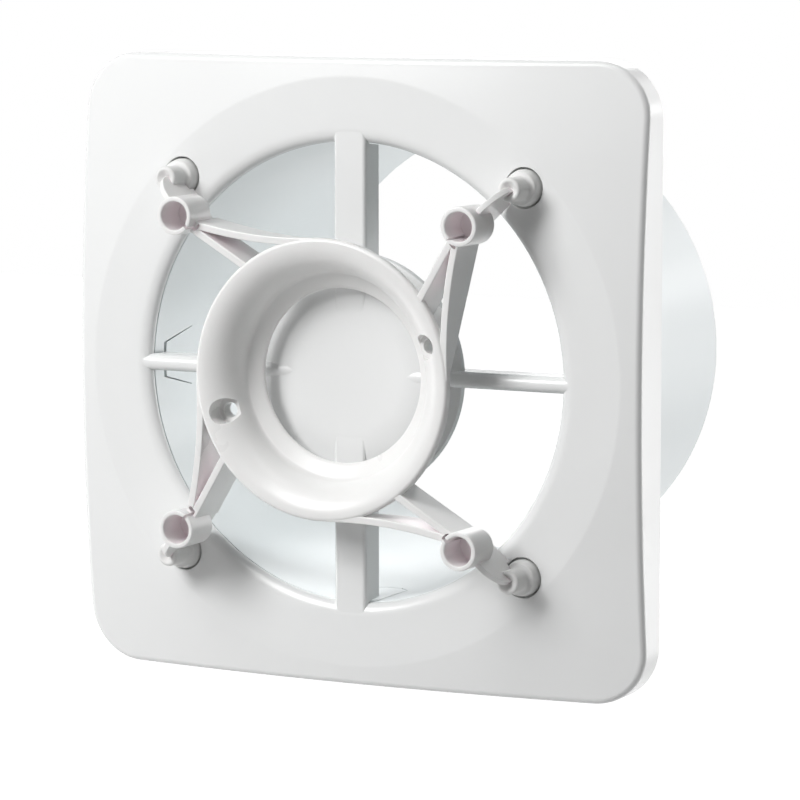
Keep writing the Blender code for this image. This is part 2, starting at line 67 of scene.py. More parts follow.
# Wall plate
PLATE_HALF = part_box("wall_plate")[1][0]
RING_DEPTH = -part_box("wall_plate")[0][1]
PLATE_WALL = 0.0021
RING_BACK = RING_DEPTH - PLATE_WALL
PLATE_BORDER = 0.0040
RING_RADIUS = PLATE_HALF - PLATE_BORDER
PLATE_CORNER = 0.0115
DOME_RADIUS = 0.430
CREASE_SOFTNESS = 0.00035
EDGE_ROUND = 0.0014
REAR_ROUND = 0.0003
LIP_WIDTH = 0.0028
LIP_DROP = 0.0019
SEAM_ROUND = 0.0001

# Duct tube
TUBE_FRONT = -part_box("duct_tube")[0][1]
TUBE_END = -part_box("duct_tube")[1][1]
TUBE_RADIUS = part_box("duct_tube")[1][0]
TUBE_TAPER = 0.0006
TUBE_WALL = 0.0023
TUBE_END_RADIUS = TUBE_RADIUS - TUBE_TAPER
TUBE_ROUND = 0.0008
BORE_ROUND = 0.0004
THROAT_RADIUS = TUBE_RADIUS - TUBE_WALL
SLIT = 0.00014
SIDE_TONGUE_FRONT = TUBE_FRONT - 0.0036
SIDE_TONGUE_TIP = SIDE_TONGUE_FRONT - 0.0010
SIDE_TONGUE_ROOT = SIDE_TONGUE_TIP - 0.0098
SIDE_TONGUE_HALF = (0.0037, 0.0062)
END_TONGUE_FRONT = TUBE_FRONT - 0.0012
END_TONGUE_TIP = END_TONGUE_FRONT - 0.0166
END_TONGUE_HALF = 0.0044
END_TONGUE_CHAMFER = 0.0026
END_SLIT = 0.0003

# Bar, spokes and hub inside the throat
FLUSH = 0.0001
BAR_HALF = 0.0036
BAR_REAR = RING_DEPTH - 0.0061
BAR_ROUND = 0.0008
SPOKE_HALF = 0.0017
SPOKE_REAR = RING_DEPTH - 0.0060
ARM_CLEARANCE = 0.00025
HUB_RADIUS = 0.0246
HUB_FACE = 0.0120
HUB_BEVEL = 0.0018
HUB_CURVE = 1.25
HUB_RIM = 0.0014
HUB_WALL = 0.0016
HOOK_HALF = 0.0015
HOOK_INNER = THROAT_RADIUS - 0.0030
HOOK_OUTER = THROAT_RADIUS - 0.0012
HOOK_NOSE = 0.0022

# Soft bushes
BUSH_CIRCLE = 0.0550
BUSH_FLANGE = 0.0049
BUSH_COLLAR = 0.0037
BUSH_COLLAR_END = 0.0034
BUSH_NECK = 0.0024
BUSH_DIMPLE = 0.0013
BUSH_FRONT = -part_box("bush_upper_right")[0][1]
BUSH_REAR = -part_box("bush_upper_right")[1][1]
COLLAR_FRONT = RING_DEPTH + 0.0019
HOLE_RADIUS = 0.0041

# Panel carrier
SOCKET_CIRCLE = 0.04525
SOCKET_RADIUS = 0.0039
SOCKET_BORE = 0.00295
SOCKET_FRONT = -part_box("panel_carrier")[0][1]
SOCKET_REAR = SOCKET_FRONT - 0.0084
SOCKET_FLOOR = SOCKET_REAR + 0.0012
SPLIT_HALF = 0.00033
SPLIT_OFFSET = 0.0004
SPLIT_REACH = 0.0006
SPLIT_HOOK = 0.0012
RIB_FRONT = SOCKET_FRONT - 0.0024
RIB_REAR = RIB_FRONT - 0.0095
RIB_RISE = 0.0088
RIB_HALF = 0.00075
RIB_ROUND = 0.00022
RIB_JOIN = 0.0010
RIB_SPREAD = math.radians(42.0)
RIB_LEAN = math.radians(15.0)
RIM_RADIUS = 0.0285
RIM_FRONT = RIB_FRONT + 0.0002
RIM_ROUND = 0.0008
FUNNEL_REAR = RIM_FRONT - 0.0106
WAIST_RADIUS = 0.0212
WAIST_DEPTH = RIM_FRONT - 0.0076
HOLE_EDGE = 0.0010
BELL_START = math.radians(14.0)
FUNNEL_HOLE = 0.0178
FUNNEL_WALL = 0.0016
SCREW_CIRCLE = 0.0240
SCREW_ANGLES = [math.radians(18.5), math.radians(198.5)]
SCREW_HEAD = 0.0026
SCREW_HOLE = 0.0015
SCREW_BOSS = 0.0035
SCREW_SEAT = RIM_FRONT - 0.0044
SCREW_FLOOR = 0.0026
BLADE_HALF = 0.00058
BLADE_ROUND = 0.00012
BLADE_TOP = SOCKET_FRONT - 0.0029
BLADE_REAR = COLLAR_FRONT + 0.0004
BLADE_FOOT = (RING_DEPTH + 0.0006, RING_DEPTH + 0.0016)
BLADE_GAP = 0.0002
BLADE_TIP = BUSH_CIRCLE + 0.0002
BLADE_PLAY = 0.00003

# Edges that turn by more than this stay sharp, or are rounded on the blades
SHARP_TURN = math.radians(32.0)
BEVEL_TURN = math.radians(60.0)

# Lamps, each with its azimuth, elevation, distance, size and power
LAMPS = {
    "key": (-29.0, 31.0, 0.90, 0.34, 5.75),
    "high_front": (-18.0, 47.0, 0.90, 0.40, 2.3),
    "left_low": (-74.0, -15.0, 0.70, 0.36, 0.85),
    "overhead": (30.0, 75.0, 0.70, 0.30, 0.7),
    "right_behind": (135.0, -4.0, 0.80, 0.55, 3.5),
    "duct_right": (150.0, 25.0, 0.80, 0.55, 2.0),
    "duct_left": (-160.0, 25.0, 0.80, 0.35, 0.85),
}

# Floor
FLOOR_HALF = 3.0
FLOOR_LEVEL = -0.30
FLOOR_GLOW = 0.95

# Viewpoint, measured from a point on the duct's axis, and the shift of the picture's middle
VIEW_AZIMUTH = math.radians(27.66)
VIEW_ELEVATION = math.radians(6.48)
VIEW_DISTANCE = 0.818
VIEW_LENS = 180.9
VIEW_CENTRE = (0.0, -0.0068, 0.0)
VIEW_SHIFT = (0.00828, -0.00574)


def turn(angle):
    """Turn about the duct's axis that takes +X towards +Z."""
    return Matrix.Rotation(-angle, 4, "Y")


def polar(radius, angle, depth):
    return Vector((radius * math.cos(angle), -depth, radius * math.sin(angle)))


def spread(start, end, count):
    return [start + (end - start) * k / count for k in range(count + 1)]


def arc(centre, radius, start, end, count):
    """Points (u, v) on an arc, both ends included."""
    places = spread(start, end, count)
    return [(centre[0] + radius * math.cos(a), centre[1] + radius * math.sin(a)) for a in places]


def mirrored(points):
    """A half outline of (u, v) points, closed by its mirror image in u."""
    return points + [(-u, v) for u, v in reversed(points)]


def loft(bm, loops, closed=False):
    """Bridge loops of equally many points. An open loft is capped, a closed one returns to its first loop."""
    rings = [[bm.verts.new(point) for point in loop] for loop in loops]
    pairs = list(zip(rings, rings[1:]))
    if closed:
        pairs.append((rings[-1], rings[0]))
    else:
        bm.faces.new(rings[0])
        bm.faces.new(rings[-1])
    for near, far in pairs:
        for k in range(len(near)):
            n = (k + 1) % len(near)
            bm.faces.new((near[k], near[n], far[n], far[k]))


def lathe(bm, profile, count, closed=False, centre=(0.0, 0.0)):
    """Turn (radius, depth) points about an axis along the duct."""
    shift = Vector((centre[0], 0.0, centre[1]))
    angles = spread(0.0, 4.0 * RIGHT_ANGLE, count)[:-1]
    loft(bm, [[polar(radius, a, depth) + shift for a in angles] for radius, depth in profile], closed)


def repeat(bm, angles):
    """Turn what the mesh holds to the first angle, and copies of it to the others."""
    first = bm.verts[:]
    source = first + bm.edges[:] + bm.faces[:]
    for angle in angles[1:]:
        copied = bmesh.ops.duplicate(bm, geom=source)["geom"]
        verts = [item for item in copied if isinstance(item, bmesh.types.BMVert)]
        bmesh.ops.transform(bm, matrix=turn(angle), verts=verts)
    bmesh.ops.transform(bm, matrix=turn(angles[0]), verts=first)


def blank(name, bm):
    bmesh.ops.recalc_face_normals(bm, faces=bm.faces)
    mesh = bpy.data.meshes.new(name)
    bm.to_mesh(mesh)
    bm.free()
    item = bpy.data.objects.new(name, mesh)
    bpy.context.scene.collection.objects.link(item)
    return item


def settled(item):
    """The item with its modifiers worked into its mesh."""
    bpy.context.view_layer.update()
    mesh = bpy.data.meshes.new_from_object(item.evaluated_get(bpy.context.evaluated_depsgraph_get()))
    item.modifiers.clear()
    item.data = mesh
    return item


def worked(item, additions, cuts):
    """The item with pieces moulded on and then cut away, whose large faces stay flat between soft edges."""
    for operation, tools in (("UNION", additions), ("DIFFERENCE", cuts)):
        for tool in tools:
            step = item.modifiers.new(tool.name, "BOOLEAN")
            step.operation = operation
            step.object = tool
    settled(item)
    for tool in additions + cuts:
        bpy.data.objects.remove(tool)
    bm = bmesh.new()
    bm.from_mesh(item.data)
    bmesh.ops.dissolve_degenerate(bm, dist=SLIVER, edges=bm.edges)
    bm.to_mesh(item.data)
    bm.free()
    item.data.shade_smooth()
    item.data.set_sharp_from_angle(angle=SHARP_TURN)
    flats = item.modifiers.new("flat_faces", "WEIGHTED_NORMAL")
    flats.keep_sharp = True
    return settled(item)


def posts(name, profile, count, centre, angles):
    """Turned posts along the duct's direction, one at each angle."""
    bm = bmesh.new()
    lathe(bm, profile, count, centre=centre)
    repeat(bm, angles)
    return blank(name, bm)


def prism(name, outline, low, high, place, angles):
    """An outline of (u, v) points from low to high at each angle. place(u, v, h) gives a point in space."""
    bm = bmesh.new()
    loft(bm, [[place(u, v, h) for u, v in outline] for h in (low, high)])
    repeat(bm, angles)
    return blank(name, bm)


def dome_depth(radius):
    """Front of the plate: a flat ring, a soft crease and a shallow dome."""
    slope = RING_RADIUS / DOME_RADIUS
    start = RING_RADIUS - CREASE_SOFTNESS
    if radius <= start:
        return RING_DEPTH
    if radius < RING_RADIUS + CREASE_SOFTNESS:
        return RING_DEPTH - slope * (radius - start) ** 2 / (4.0 * CREASE_SOFTNESS)
    return RING_DEPTH - (radius ** 2 - RING_RADIUS ** 2) / (2.0 * DOME_RADIUS)


def plate_outline(inset):
    """Rounded square in (x, z), with the same count of points for any inset."""
    straight = PLATE_HALF - PLATE_CORNER
    widest = math.atan2(straight, PLATE_HALF)
    side = [(PLATE_HALF - inset, PLATE_HALF * math.tan(a)) for a in spread(-widest, widest, 40)[:-1]]
    side += arc((straight, straight), PLATE_CORNER - inset, 0.0, RIGHT_ANGLE, 18)[:-1]
    points = []
    for k in range(4):
        points += side
        side = [(-z, x) for x, z in side]
    return points


def ring_loop(radius, depth, angles):
    return [polar(radius, a, depth) for a in angles]


def dome_loop(outline, angles, share, sunk):
    """A loop on the dome, or sunk below it, part of the way from the crease to an outline."""
    start = RING_RADIUS + CREASE_SOFTNESS
    loop = []
    for (x, z), a in zip(outline, angles):
        radius = start + share * (math.hypot(x, z) - start)
        bearing = a + share * math.remainder(math.atan2(z, x) - a, 4.0 * RIGHT_ANGLE)
        loop.append(polar(radius, bearing, dome_depth(radius) - sunk))
    return loop


def lip_loops(angles):
    """The rolled lip, from behind the plate to the flat ring."""
    loops = [ring_loop(THROAT_RADIUS + SEAM_ROUND, RING_BACK, angles)]
    loops.append(ring_loop(THROAT_RADIUS, RING_BACK + SEAM_ROUND, angles))
    for a in spread(0.0, RIGHT_ANGLE, 14):
        radius = THROAT_RADIUS + LIP_WIDTH * (1.0 - math.cos(a))
        loops.append(ring_loop(radius, RING_DEPTH - LIP_DROP * (1.0 - math.sin(a)), angles))
    return loops


def edge_loops():
    """The rounded edge between the dome and the skirt."""
    depths = [dome_depth(math.hypot(x, z)) for x, z in plate_outline(EDGE_ROUND)]
    loops = []
    for a in spread(0.0, RIGHT_ANGLE, 8):
        rim = plate_outline(EDGE_ROUND * (1.0 - math.sin(a)))
        drop = EDGE_ROUND * (1.0 - math.cos(a))
        loops.append([Vector((x, drop - depth, z)) for (x, z), depth in zip(rim, depths)])
    return loops


def wall_loop(inset, depth):
    return [Vector((x, -depth, z)) for x, z in plate_outline(inset)]


def plate_shell():
    angles = [math.atan2(z, x) for x, z in plate_outline(0.0)]
    edge = plate_outline(EDGE_ROUND)
    inner = plate_outline(PLATE_WALL)
    loops = lip_loops(angles)
    loops.append(ring_loop(THROAT_RADIUS + LIP_WIDTH + REAR_ROUND, RING_DEPTH, angles))
    for radius in spread(RING_RADIUS - CREASE_SOFTNESS, RING_RADIUS + CREASE_SOFTNESS, 6)[:-1]:
        loops.append(ring_loop(radius, dome_depth(radius), angles))
    loops += [dome_loop(edge, angles, share, 0.0) for share in (0.0, 0.12, 0.3, 0.5, 0.7, 0.88)]
    loops += edge_loops()
    loops += [wall_loop(0.0, REAR_ROUND), wall_loop(REAR_ROUND, 0.0), wall_loop(PLATE_WALL, 0.0)]
    loops += [dome_loop(inner, angles, share, PLATE_WALL) for share in (1.0, 0.6, 0.3, 0.0)]
    loops.append(ring_loop(RING_RADIUS - CREASE_SOFTNESS, RING_BACK, angles))
    bm = bmesh.new()
    loft(bm, loops, closed=True)
    return blank("plate", bm)


def arm_stations(half, rear):
    """Places along a throat arm and how deep it is there. Behind the plate it stays inside the tube."""
    outer = THROAT_RADIUS + LIP_WIDTH - FLUSH
    inner = math.sqrt((THROAT_RADIUS - ARM_CLEARANCE) ** 2 - half ** 2)
    step = RING_BACK + SINK / 2
    stations = [(-outer, step), (-inner, step), (SINK - inner, rear)]
    return stations + [(-along, depth) for along, depth in reversed(stations)]


def throat_bar():
    """Upright bar with a flat front and softened edges."""
    front = RING_DEPTH - FLUSH
    corner = arc((BAR_HALF - BAR_ROUND, front - BAR_ROUND), BAR_ROUND, 0.0, RIGHT_ANGLE, 4)
    bm = bmesh.new()
    loops = []
    for along, rear in arm_stations(BAR_HALF, BAR_REAR):
        loops.append([Vector((x, -depth, along)) for x, depth in mirrored([(BAR_HALF, rear)] + corner)])
    loft(bm, loops)
    return blank("throat_bar", bm)


def throat_spokes():
    """Thin spokes with a half-round front."""
    crown = arc((0.0, RING_DEPTH - FLUSH - SPOKE_HALF), SPOKE_HALF, 0.0, 2.0 * RIGHT_ANGLE, 16)
    bm = bmesh.new()
    loops = []
    for along, rear in arm_stations(SPOKE_HALF, SPOKE_REAR):
        section = [(SPOKE_HALF, rear)] + crown + [(-SPOKE_HALF, rear)]
        loops.append([Vector((along, -depth, z)) for z, depth in section])
    loft(bm, loops)
    return blank("throat_spokes", bm)


def hub_disc():
    """Face level with the ring that curves gently back to a rounded rim, dished behind."""
    soft = 0.0003
    rim = RING_DEPTH - HUB_BEVEL
    profile = [(HUB_FACE / 2, RING_DEPTH)]
    for run in spread(0.0, 1.0, 16)[:-1]:
        profile.append((HUB_FACE + run * (HUB_RADIUS - HUB_FACE), RING_DEPTH - HUB_BEVEL * run ** HUB_CURVE))
    profile += [(HUB_RADIUS - soft / 2, rim), (HUB_RADIUS, rim - soft), (HUB_RADIUS, rim - HUB_RIM)]
    profile += [(HUB_RADIUS - HUB_WALL, rim - HUB_RIM), (HUB_FACE, RING_DEPTH - HUB_WALL)]
    profile += [(HUB_FACE / 2, RING_DEPTH - HUB_WALL)]
    bm = bmesh.new()
    lathe(bm, profile, 160)
    return blank("hub_disc", bm)


def tube_hooks():
    """Legs behind the spokes' ends, whose noses stand in the gaps ahead of the tube's side tongues."""
    tip = HOOK_OUTER + HOOK_NOSE
    front, rear = SIDE_TONGUE_FRONT - 0.0003, SIDE_TONGUE_TIP + 0.0002
    end = rear - 0.0008
    outline = [(HOOK_INNER, RING_BACK), (HOOK_OUTER, RING_BACK), (HOOK_OUTER, front), (tip, front)]
    outline += [(tip, rear), (HOOK_OUTER, rear), (HOOK_OUTER, end), (HOOK_INNER, end)]
    return prism("tube_hooks", outline, -HOOK_HALF, HOOK_HALF, lambda u, v, h: Vector((u, -v, h)), SIDES)


def build_plate():
    flare = 0.00012
    holes = [(HOLE_RADIUS, RING_BACK - SINK), (HOLE_RADIUS, RING_DEPTH - 2.0 * flare)]
    holes += [(HOLE_RADIUS + flare / 2, RING_DEPTH - flare / 2), (HOLE_RADIUS + 2.0 * flare, RING_DEPTH)]
    holes += [(HOLE_RADIUS + 2.0 * flare, RING_DEPTH + SINK)]
    cuts = [posts("bush_holes", holes, 64, (BUSH_CIRCLE, 0.0), DIAGONALS)]
    return worked(plate_shell(), [throat_bar(), throat_spokes(), hub_disc(), tube_hooks()], cuts)


def tongue_slot(name, outer, inner, angles):
    """A narrow slot round a snap tongue, through the tube's wall."""
    outline = mirrored(outer) + list(reversed(mirrored(inner)))
    low, high = THROAT_RADIUS - TUBE_WALL, TUBE_RADIUS + TUBE_WALL
    return prism(name, outline, low, high, lambda u, v, h: Vector((h, -v, u)), angles)


def side_tongues():
    tip, root = SIDE_TONGUE_HALF
    outer = [(root, SIDE_TONGUE_ROOT), (tip, SIDE_TONGUE_FRONT)]
    inner = [(root - SLIT, SIDE_TONGUE_ROOT), (tip - SLIT, SIDE_TONGUE_TIP)]
    return tongue_slot("side_tongues", outer, inner, SIDES)


def end_tongues():
    half, corner = END_TONGUE_HALF, END_TONGUE_HALF - END_TONGUE_CHAMFER
    shoulder = END_TONGUE_TIP + END_TONGUE_CHAMFER
    outer = [(half, END_TONGUE_FRONT), (half, shoulder), (corner, END_TONGUE_TIP)]
    inner = [(half - END_SLIT, END_TONGUE_FRONT), (half - END_SLIT, shoulder)]
    inner.append((corner - END_SLIT / 2, END_TONGUE_TIP + END_SLIT))
    return tongue_slot("end_tongues", outer, inner, ENDS)


def build_tube():
    """Slightly tapered tube with a rounded end and four snap tongues."""
    bore = TUBE_END_RADIUS - TUBE_WALL
    profile = [(THROAT_RADIUS + SEAM_ROUND, TUBE_FRONT), (TUBE_RADIUS - REAR_ROUND, TUBE_FRONT)]
    profile += [(TUBE_RADIUS, TUBE_FRONT - REAR_ROUND), (TUBE_RADIUS, 0.0)]
    for share in (0.25, 0.5, 0.75, 0.985):
        profile.append((TUBE_RADIUS - share * TUBE_TAPER, share * TUBE_END))
    centre = (TUBE_END_RADIUS - TUBE_ROUND, TUBE_END + TUBE_ROUND)
    profile += arc(centre, TUBE_ROUND, 0.0, -RIGHT_ANGLE, 6)
    centre = (bore + BORE_ROUND, TUBE_END + BORE_ROUND)
    profile += arc(centre, BORE_ROUND, -RIGHT_ANGLE, -2.0 * RIGHT_ANGLE, 4)
    for share in (0.75, 0.5, 0.25):
        depth = share * TUBE_END + (1.0 - share) * TUBE_FRONT
        profile.append((bore + (1.0 - share) * TUBE_TAPER, depth))
    profile.append((THROAT_RADIUS, TUBE_FRONT - SEAM_ROUND))
    bm = bmesh.new()
    lathe(bm, profile, 256, closed=True)
    return worked(blank("tube", bm), [], [side_tongues(), end_tongues()])


def funnel_body():
    """The funnel before its inside is cut."""
    profile = [(FUNNEL_HOLE / 2, FUNNEL_REAR), (FUNNEL_HOLE + FUNNEL_WALL, FUNNEL_REAR)]
    profile += [(WAIST_RADIUS + FUNNEL_WALL, WAIST_DEPTH - HOLE_EDGE)]
    profile += [(RIM_RADIUS, RIM_FRONT - 2.0 * RIM_ROUND)]
    profile += arc((RIM_RADIUS - RIM_ROUND, RIM_FRONT - RIM_ROUND), RIM_ROUND, 0.0, RIGHT_ANGLE, 8)
    profile += [(FUNNEL_HOLE / 2, RIM_FRONT)]
    bm = bmesh.new()
    lathe(bm, profile, 200)
    return blank("carrier", bm)


def funnel_inside():
    """Bell mouth, a soft waist, a flatter ring and a hole with a soft edge."""
    soft = 0.0003
    blend = 0.0006
    edge = FUNNEL_REAR + HOLE_EDGE
    crest = RIM_RADIUS - RIM_ROUND
    wide, deep = crest - WAIST_RADIUS, RIM_FRONT - WAIST_DEPTH
    turns = spread(BELL_START, RIGHT_ANGLE, 20)
    bell = [(crest - wide * math.cos(t), WAIST_DEPTH + deep * math.sin(t)) for t in turns]
    slope = (WAIST_DEPTH - edge) / (WAIST_RADIUS - FUNNEL_HOLE)
    foot = (WAIST_RADIUS - blend, WAIST_DEPTH - slope * blend)
    profile = [(FUNNEL_HOLE / 2, FUNNEL_REAR - SINK), (FUNNEL_HOLE + soft, FUNNEL_REAR - SINK)]
    profile += [(FUNNEL_HOLE + soft, FUNNEL_REAR), (FUNNEL_HOLE, FUNNEL_REAR + soft)]
    profile += [(FUNNEL_HOLE, edge - soft), (FUNNEL_HOLE + soft / 2, edge)]
    profile += [(FUNNEL_HOLE + 2.0 * soft, edge + soft)]
    for t in spread(0.0, 1.0, 8)[:-1]:
        near, corner, far = (1.0 - t) ** 2, 2.0 * t * (1.0 - t), t * t
        profile.append((near * foot[0] + corner * WAIST_RADIUS + far * bell[0][0],
                        near * foot[1] + corner * WAIST_DEPTH + far * bell[0][1]))
    profile += bell
    profile += [(crest, RIM_FRONT + SINK), (FUNNEL_HOLE / 2, RIM_FRONT + SINK)]
    bm = bmesh.new()
    lathe(bm, profile, 200)
    return blank("funnel_inside", bm)


def add_rib(bm, path, rise):
    """Upright rib along (x, z) points with rounded front edges. Its rear edge curves forwards by the rise."""
    corner = arc((RIB_HALF - RIB_ROUND, RIB_FRONT - RIB_ROUND), RIB_ROUND, 0.0, RIGHT_ANGLE, 3)
    loops = []
    for k, point in enumerate(path):
        run = Vector(path[min(k + 1, len(path) - 1)]) - Vector(path[max(k - 1, 0)])
        side = run.orthogonal().normalized()
        rear = RIB_REAR + rise * (k / (len(path) - 1)) ** 2
        spots = [(Vector(point) + side * u, depth) for u, depth in mirrored([(RIB_HALF, rear)] + corner)]
        loops.append([Vector((spot.x, -depth, spot.y)) for spot, depth in spots])
    loft(bm, loops)


def curved_ribs():
    """From each socket, a rib that bends until it lies along the funnel's rim."""
    start = Vector((SOCKET_CIRCLE - SOCKET_RADIUS + SINK, -RIB_JOIN))
    touch = RIM_RADIUS - RIB_HALF
    aim = Vector((math.cos(RIB_SPREAD), -math.sin(RIB_SPREAD)))
    reach = start.dot(aim)
    bend = (touch ** 2 - 2.0 * touch * reach + start.length_squared) / (2.0 * (reach - touch))
    centre = aim * (touch + bend)
    first = math.atan2(start.y - centre.y, start.x - centre.x)
    sweep = math.remainder(math.atan2(-aim.y, -aim.x) - first, 4.0 * RIGHT_ANGLE)
    bm = bmesh.new()
    add_rib(bm, arc(centre, bend, first, first + sweep, 28), RIB_RISE)
    repeat(bm, DIAGONALS)
    return blank("curved_ribs", bm)


def straight_ribs():
    """From each socket, a straight rib of even depth to the funnel's wall."""
    start = (SOCKET_CIRCLE - SOCKET_RADIUS + SINK, 0.0)
    end = (WAIST_RADIUS * math.cos(RIB_LEAN), -WAIST_RADIUS * math.sin(RIB_LEAN))
    bm = bmesh.new()
    add_rib(bm, [start, end], 0.0)
    repeat(bm, DIAGONALS)
    return blank("straight_ribs", bm)


def sockets():
    edge = 0.00025
    profile = [(SOCKET_BORE / 4, SOCKET_REAR), (SOCKET_RADIUS - edge, SOCKET_REAR)]
    profile += [(SOCKET_RADIUS, SOCKET_REAR + edge)]
    profile += arc((SOCKET_RADIUS - edge, SOCKET_FRONT - edge), edge, 0.0, RIGHT_ANGLE, 4)
    profile += [(SOCKET_BORE / 4, SOCKET_FRONT)]
    return posts("sockets", profile, 56, (SOCKET_CIRCLE, 0.0), DIAGONALS)


def socket_bores():
    edge = 0.0002
    profile = [(SOCKET_BORE / 4, SOCKET_FLOOR), (SOCKET_BORE, SOCKET_FLOOR)]
    profile += [(SOCKET_BORE, SOCKET_FRONT - edge)]
    profile += [(SOCKET_BORE + 0.4 * edge, SOCKET_FRONT - 0.4 * edge), (SOCKET_BORE + edge, SOCKET_FRONT)]
    profile += [(SOCKET_BORE + edge, SOCKET_FRONT + SINK), (SOCKET_BORE / 4, SOCKET_FRONT + SINK)]
    return posts("socket_bores", profile, 56, (SOCKET_CIRCLE, 0.0), DIAGONALS)


def socket_splits():
    """Slits that open each socket towards the hub and hook round its free end."""
    outer = SOCKET_CIRCLE - SOCKET_BORE / 2
    inner = SOCKET_CIRCLE - SOCKET_RADIUS - SPLIT_REACH
    bend = 2.0 * SPLIT_HALF
    outline = [(outer, SPLIT_HALF), (outer, -SPLIT_HALF), (inner + SPLIT_HALF, -SPLIT_HALF)]
    outline += arc((inner, -SPLIT_HOOK), SPLIT_HALF, 0.0, -2.0 * RIGHT_ANGLE, 8)
    centre = (inner - SPLIT_HALF + bend, SPLIT_HALF - bend)
    outline += arc(centre, bend, 2.0 * RIGHT_ANGLE, RIGHT_ANGLE, 5)
    outline = [(along, across - SPLIT_OFFSET) for along, across in outline]
    ends = (SOCKET_FLOOR, SOCKET_FRONT + SINK)
    return prism("socket_splits", outline, *ends, lambda u, v, h: Vector((u, -h, v)), DIAGONALS)


def bush_blades():
    """Webs behind the sockets that end as upright blades in the bushes, with a bulging front edge."""
    inner = SOCKET_CIRCLE + (SOCKET_BORE + SOCKET_RADIUS) / 2
    drop = BLADE_TOP - BUSH_FRONT + BUSH_DIMPLE - SINK / 2
    outline = []
    for a in spread(0.0, RIGHT_ANGLE, 20):
        outline.append((inner + (BLADE_TIP - inner) * math.sin(a), BLADE_TOP - drop * (1.0 - math.cos(a))))
    step = BUSH_CIRCLE - BUSH_COLLAR - BLADE_GAP
    root = SOCKET_CIRCLE - SOCKET_RADIUS + SINK / 4
    outline += [(BLADE_TIP, BLADE_REAR), (step, BLADE_REAR), (step, BLADE_FOOT[0])]
    outline += [(SOCKET_CIRCLE, BLADE_FOOT[1])]
    outline += [(root, RIB_REAR + SINK / 2), (root, SOCKET_REAR + SINK), (inner, SOCKET_REAR + SINK)]
    ends = (-BLADE_HALF, BLADE_HALF)
    blade = prism("bush_blade", outline, *ends, lambda u, v, h: Vector((u, -v, h)), [0.0])
    bevel = blade.modifiers.new("edge_round", "BEVEL")
    bevel.width = BLADE_ROUND
    bevel.segments = 3
    bevel.limit_method = "ANGLE"
    bevel.angle_limit = BEVEL_TURN
    settled(blade)
    bm = bmesh.new()
    bm.from_mesh(blade.data)
    bpy.data.objects.remove(blade)
    repeat(bm, DIAGONALS)
    return blank("bush_blades", bm)


def build_carrier():
    """Funnel, ribs, sockets and blades in one moulding, with its bores, slits and screw pockets."""
    soft = 0.0002
    front = SOCKET_FRONT + SINK
    bosses = [(SCREW_BOSS, SCREW_SEAT - SCREW_FLOOR), (SCREW_BOSS, RIM_FRONT - 2.0 * RIM_ROUND)]
    heads = [(SCREW_HEAD - soft, SCREW_SEAT), (SCREW_HEAD, SCREW_SEAT + soft), (SCREW_HEAD, front)]
    holes = [(SCREW_HOLE, FUNNEL_REAR), (SCREW_HOLE, SCREW_SEAT - soft)]
    holes += [(SCREW_HOLE + soft, SCREW_SEAT + soft), (SCREW_HOLE + soft, front)]
    screw = (SCREW_CIRCLE, 0.0)
    additions = [curved_ribs(), straight_ribs(), sockets(), bush_blades()]
    additions.append(posts("screw_bosses", bosses, 40, screw, SCREW_ANGLES))
    cuts = [funnel_inside(), socket_bores(), socket_splits()]
    cuts.append(posts("screw_heads", heads, 48, screw, SCREW_ANGLES))
    cuts.append(posts("screw_holes", holes, 32, screw, SCREW_ANGLES))
    return worked(funnel_body(), additions, cuts)


def bush_profile():
    """Flange behind the plate, tapered collar, a hollow flare and a neck with a round lip and a dimple."""
    edge = 0.00055
    collar_round = 0.0005
    flare = 0.0008
    flange_front = TUBE_FRONT
    profile = [(BUSH_NECK / 2, BUSH_REAR), (BUSH_FLANGE - REAR_ROUND, BUSH_REAR)]
    profile += [(BUSH_FLANGE, BUSH_REAR + REAR_ROUND), (BUSH_FLANGE, flange_front - REAR_ROUND)]
    profile += [(BUSH_FLANGE - REAR_ROUND, flange_front)]
    profile += [(BUSH_COLLAR, flange_front), (BUSH_COLLAR, RING_DEPTH)]
    centre = (BUSH_COLLAR_END - collar_round, COLLAR_FRONT - collar_round)
    profile += arc(centre, collar_round, 0.0, RIGHT_ANGLE, 6)
    centre = (BUSH_NECK + flare, COLLAR_FRONT + flare)
    profile += arc(centre, flare, -1.2 * RIGHT_ANGLE, -2.0 * RIGHT_ANGLE, 6)
    profile += arc((BUSH_NECK - edge, BUSH_FRONT - edge), edge, 0.0, 1.4 * RIGHT_ANGLE, 8)
    tip = 0.0001
    return profile + [(tip, BUSH_FRONT - BUSH_DIMPLE)]


def build_bushes():
    """Four soft bushes that share a mesh, each with a tight slot for the carrier's blade."""
    bm = bmesh.new()
    lathe(bm, bush_profile(), 64)
    floor = BLADE_REAR - SINK / 2
    front = BUSH_FRONT + SINK
    tip = BLADE_TIP - BUSH_CIRCLE + BLADE_PLAY
    outline = [(tip, floor), (-BUSH_FLANGE, floor), (-BUSH_FLANGE, front), (tip, front)]
    half = BLADE_HALF + BLADE_PLAY
    slot = prism("blade_slot", outline, -half, half, lambda u, v, h: Vector((u, -v, h)), [0.0])
    first = worked(blank("soft_bush", bm), [], [slot])
    mesh = first.data
    bpy.data.objects.remove(first)
    bushes = {}
    for corner, angle in CORNERS.items():
        item = bpy.data.objects.new("soft_bush_" + corner, mesh)
        bpy.context.scene.collection.objects.link(item)
        item.location = polar(BUSH_CIRCLE, angle, 0.0)
        item.rotation_euler = (0.0, -angle, 0.0)
        bushes[corner] = item
    return bushes


